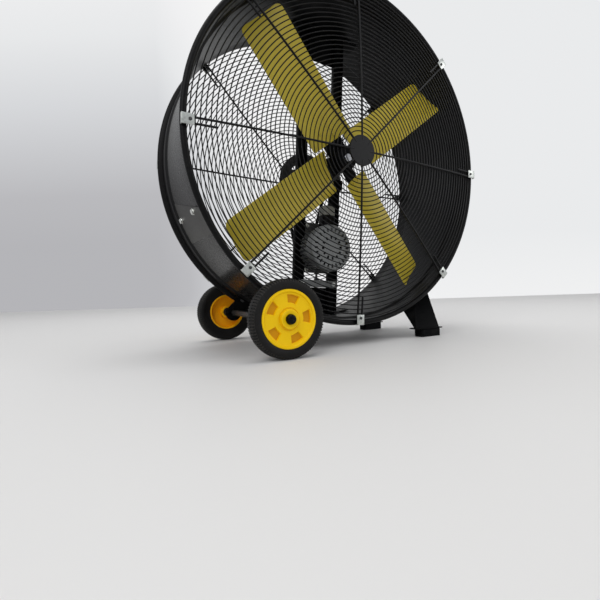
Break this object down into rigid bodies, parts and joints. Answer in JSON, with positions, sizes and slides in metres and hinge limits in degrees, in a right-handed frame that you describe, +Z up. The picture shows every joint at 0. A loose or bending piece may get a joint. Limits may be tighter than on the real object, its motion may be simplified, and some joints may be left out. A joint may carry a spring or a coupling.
{
  "type": "drum fan",
  "caption": "Belt-driven industrial drum fan: black steel drum with wire grilles on two yellow-centred wheels and two rubber feet, with four yellow blades, a motor and a belt drive.",
  "frame": {"origin": "on the floor, under the middle of the whole fan", "axes": "+X runs along the front from the wheels to the feet and the handle, +Y runs from the front grille to the back grille along the fan shaft, +Z is up"},
  "size_m": [1.1053, 0.5706, 1.0915],
  "materials": {
    "black_paint": "satin black powder coat",
    "black_wire": "satin black powder coat on wire",
    "yellow_paint": "semi-gloss yellow paint",
    "yellow_plastic": "moulded yellow plastic, semi-gloss",
    "tyre_rubber": "dull black tread rubber",
    "black_rubber": "dull black rubber",
    "zinc": "bright zinc plate",
    "bright_steel": "turned steel, lightly oiled",
    "cast_iron": "painted cast iron",
    "motor_paint": "grey motor enamel",
    "grey_plastic": "moulded light grey plastic",
    "black_plastic": "moulded black plastic"
  },
  "bodies": {
    "root": {"drum_shell": "black_paint", "strut_left": "black_paint", "strut_right": "black_paint", "strut_foot_bottom": "black_paint", "strut_foot_top": "black_paint", "motor_plate": "black_paint", "bearing_shelf": "black_paint", "axle_bracket_front": "black_paint", "axle_bracket_back": "black_paint", "foot_bracket_front": "black_paint", "foot_bracket_back": "black_paint", "carry_handle": "black_paint", "front_grille": "black_wire", "back_grille": "black_wire", "rubber_foot_front": "black_rubber", "rubber_foot_back": "black_rubber", "drive_belt": "black_rubber", "front_clip_1": "zinc", "front_clip_2": "zinc", "front_clip_3": "zinc", "front_clip_4": "zinc", "front_clip_5": "zinc", "front_clip_6": "zinc", "front_clip_7": "zinc", "front_clip_8": "zinc", "back_clip_1": "zinc", "back_clip_2": "zinc", "back_clip_3": "zinc", "back_clip_4": "zinc", "back_clip_5": "zinc", "back_clip_6": "zinc", "back_clip_7": "zinc", "back_clip_8": "zinc", "wheel_axle": "bright_steel", "bearing_block_front": "cast_iron", "bearing_block_back": "cast_iron", "motor_body": "motor_paint", "motor_cowl": "motor_paint", "motor_end_bell": "motor_paint", "crossbar": "motor_paint", "capacitor_cover": "grey_plastic", "axle_cap_front": "black_plastic", "axle_cap_back": "black_plastic", "switch_box": "black_plastic", "cord_gland": "black_plastic"},
    "fan": {"fan_shaft": "bright_steel", "blade_spider": "black_paint", "fan_blade_1": "yellow_paint", "fan_blade_2": "yellow_paint", "fan_blade_3": "yellow_paint", "fan_blade_4": "yellow_paint", "fan_pulley": "cast_iron"},
    "motor_rotor": {"motor_shaft": "bright_steel", "motor_pulley": "cast_iron", "motor_cooling_fan": "black_plastic"},
    "wheel_front": {"wheel_hub_front": "yellow_plastic", "wheel_tyre_front": "tyre_rubber"},
    "wheel_back": {"wheel_hub_back": "yellow_plastic", "wheel_tyre_back": "tyre_rubber"},
    "knob": {"speed_knob": "black_plastic"}
  },
  "joints": [
    {"name": "fan_spin", "type": "hinge", "parent": "root", "child": "fan", "pos_m": [-0.03725, 0, 0.576], "axis": [0, -1, 0], "continuous": true},
    {"name": "motor_spin", "type": "hinge", "parent": "root", "child": "motor_rotor", "pos_m": [-0.05543, 0, 0.30661], "axis": [0, -1, 0], "continuous": true},
    {"name": "wheel_front_roll", "type": "hinge", "parent": "root", "child": "wheel_front", "pos_m": [-0.3243, -0.251, 0.1015], "axis": [0, 1, 0], "continuous": true},
    {"name": "wheel_back_roll", "type": "hinge", "parent": "root", "child": "wheel_back", "pos_m": [-0.3243, 0.251, 0.1015], "axis": [0, 1, 0], "continuous": true},
    {"name": "speed_select", "type": "hinge", "parent": "root", "child": "knob", "pos_m": [0.38, -0.0623, 0.90199], "axis": [0, 1, 0], "range_deg": [0, 120]}
  ],
  "couplings": [
    {"joint": "motor_spin", "follows": "fan_spin", "ratio": 3.7755}
  ]
}
